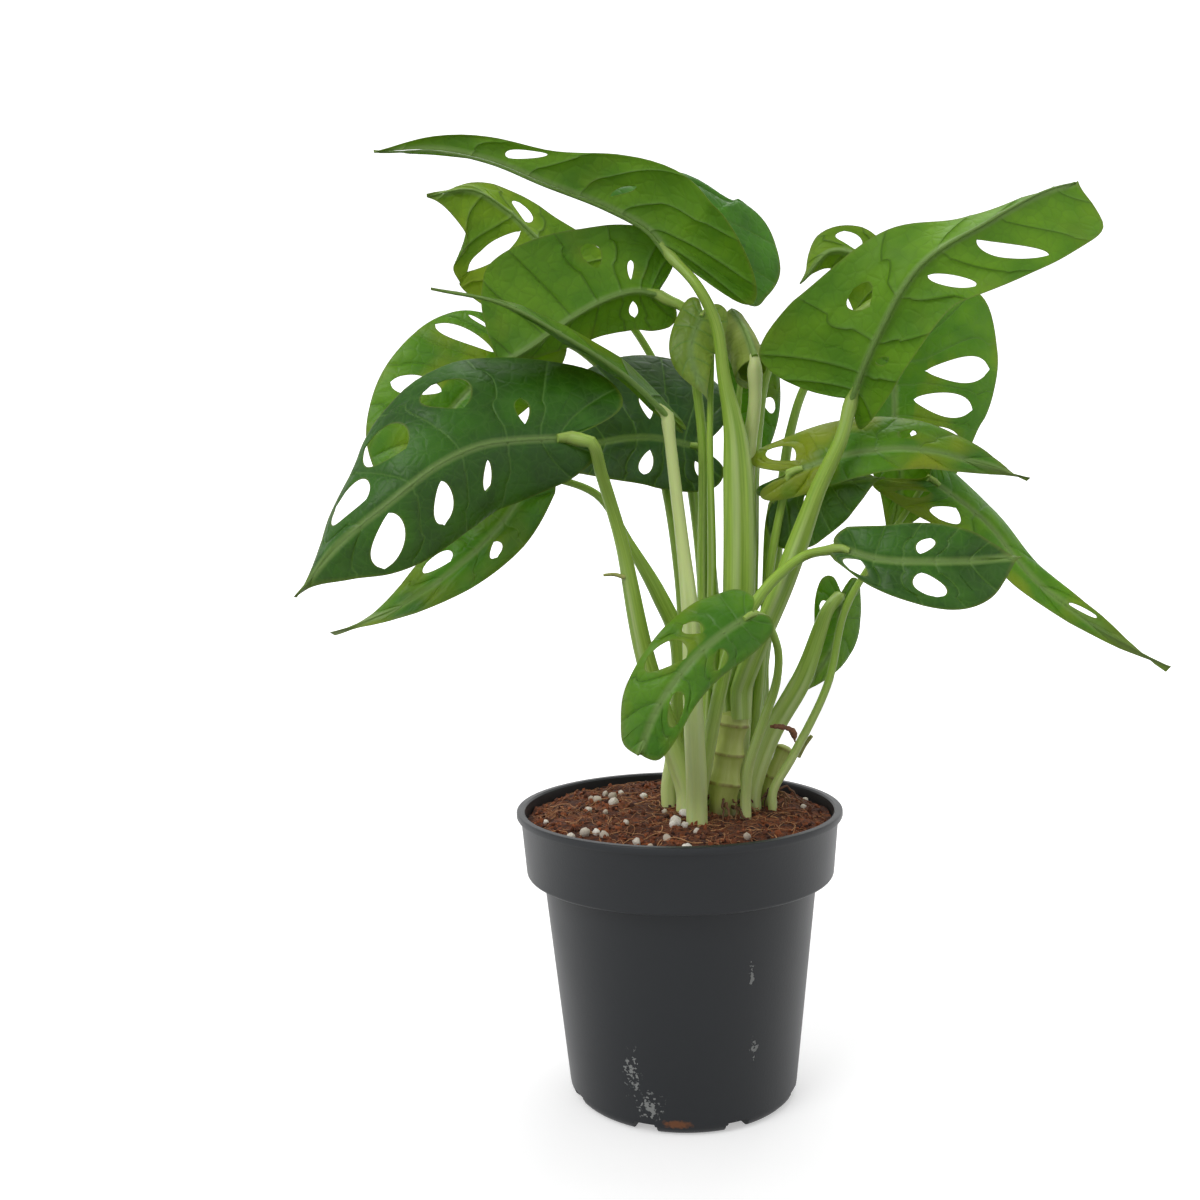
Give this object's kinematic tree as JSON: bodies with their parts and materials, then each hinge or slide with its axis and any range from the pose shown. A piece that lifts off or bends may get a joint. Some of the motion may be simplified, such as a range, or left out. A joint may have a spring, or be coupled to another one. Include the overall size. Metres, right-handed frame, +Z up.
{
  "type": "potted plant",
  "caption": "Potted climbing foliage plant with perforated heart-shaped leaves on long stalks in a round tapered nursery pot with a banded rim.",
  "frame": {"origin": "centre of the pot's underside, on the surface it stands on", "axes": "+Z up along the pot's axis, +Y away from the side the plant is viewed from, +X to that viewer's right"},
  "size_m": [0.3044, 0.12, 0.3439],
  "materials": {
    "pot": "moulded dark grey plastic with a low sheen",
    "potting_mix": "loose brown coir and peat with pale perlite",
    "cane": "smooth fleshy pale green stem",
    "sheath": "dry brown papery leaf sheath",
    "stalk": "smooth fleshy green leaf stalk",
    "blade_deep": "satin deep green leaf",
    "blade_mid": "satin green leaf",
    "blade_light": "satin yellow-green leaf",
    "blade_teal": "satin blue-green leaf"
  },
  "bodies": {
    "root": {"pot": "pot", "potting_mix": "potting_mix", "main_cane": "cane", "side_cane": "cane", "dried_sheath": "sheath", "stalk_crown": "stalk", "blade_crown": "blade_mid", "stalk_upper_left": "stalk", "blade_upper_left": "blade_light", "stalk_left_ribbed": "stalk", "blade_left_ribbed": "blade_mid", "stalk_left_rear": "stalk", "blade_left_rear": "blade_light", "stalk_left_front": "stalk", "blade_left_front": "blade_deep", "stalk_left_low": "stalk", "blade_left_low": "blade_light", "stalk_centre_rear": "stalk", "blade_centre_rear": "blade_teal", "stalk_centre_back": "stalk", "blade_centre_back": "blade_mid", "stalk_left_edge_on": "stalk", "blade_left_edge_on": "blade_mid", "stalk_young_quilted": "stalk", "blade_young_quilted": "blade_light", "stalk_young_rolled": "stalk", "blade_young_rolled": "blade_light", "stalk_right_top": "stalk", "blade_right_top": "blade_mid", "stalk_right_arch": "stalk", "blade_right_arch": "blade_light", "stalk_right_rear": "stalk", "blade_right_rear": "blade_light", "stalk_right_long_tip": "stalk", "blade_right_long_tip": "blade_light", "stalk_right_mid": "stalk", "blade_right_mid": "blade_deep", "stalk_right_front": "stalk", "blade_right_front": "blade_deep", "stalk_right_far": "stalk", "blade_right_far": "blade_light", "stalk_low_right": "stalk", "blade_low_right": "blade_light", "stalk_low_front": "stalk", "blade_low_front": "blade_light"}
  },
  "joints": []
}
